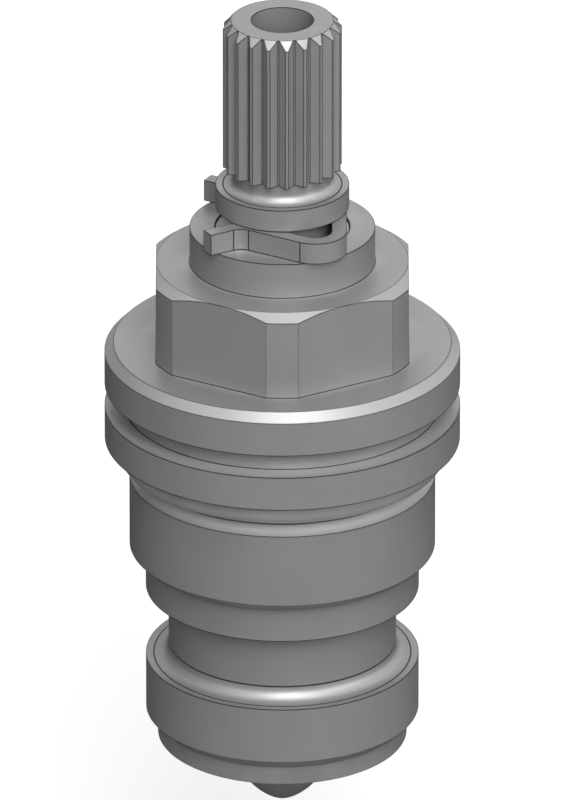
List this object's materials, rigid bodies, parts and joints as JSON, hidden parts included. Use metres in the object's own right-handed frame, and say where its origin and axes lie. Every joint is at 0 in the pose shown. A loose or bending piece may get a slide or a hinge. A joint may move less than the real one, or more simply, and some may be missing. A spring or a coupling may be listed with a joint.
{
  "type": "faucet stem",
  "caption": "Stem unit for a half inch compression tap: splined non-rising spindle with spring clip in a hexagon and flange body, driving a sliding piston with rubber seat washer.",
  "frame": {"origin": "on the axis, in the plane of the flange's sealing face, where the unit seats on the tap", "axes": "+Z along the spindle towards its splined head, +X away from the open side of the retaining clip and square to two flats of the hexagon, Y through two corners of the hexagon"},
  "size_m": [0.024, 0.024, 0.0577],
  "materials": {
    "nickel_plated_brass": "satin nickel plate over turned brass",
    "turned_plated_brass": "satin nickel plate over turned and splined brass",
    "plated_brass_piston": "satin nickel plate over turned brass",
    "plated_brass_stud": "satin nickel plate over turned brass",
    "spring_steel": "stainless spring strip, as rolled",
    "acetal": "plain white acetal",
    "nitrile_rubber": "grey moulded rubber",
    "washer_rubber": "grey moulded rubber"
  },
  "bodies": {
    "tap_body": {"headwork_body": "nickel_plated_brass", "flange_oring": "nitrile_rubber", "thrust_ring": "acetal"},
    "turning_spindle": {"spindle": "turned_plated_brass", "retaining_clip": "spring_steel", "upper_stem_oring": "nitrile_rubber", "lower_stem_oring": "nitrile_rubber"},
    "sliding_piston": {"piston": "plated_brass_piston", "piston_oring": "nitrile_rubber", "seat_washer": "washer_rubber", "nose_stud": "plated_brass_stud"}
  },
  "joints": [
    {"name": "spindle_turn", "type": "hinge", "parent": "tap_body", "child": "turning_spindle", "pos_m": [0, 0, 0], "axis": [0, 0, 1], "range_deg": [0, 810]},
    {"name": "piston_slide", "type": "slide", "parent": "tap_body", "child": "sliding_piston", "axis": [0, 0, 1], "range_m": [0, 0.0045]}
  ],
  "couplings": [
    {"joint": "spindle_turn", "follows": "piston_slide", "rad_per_m": 3141.6}
  ]
}
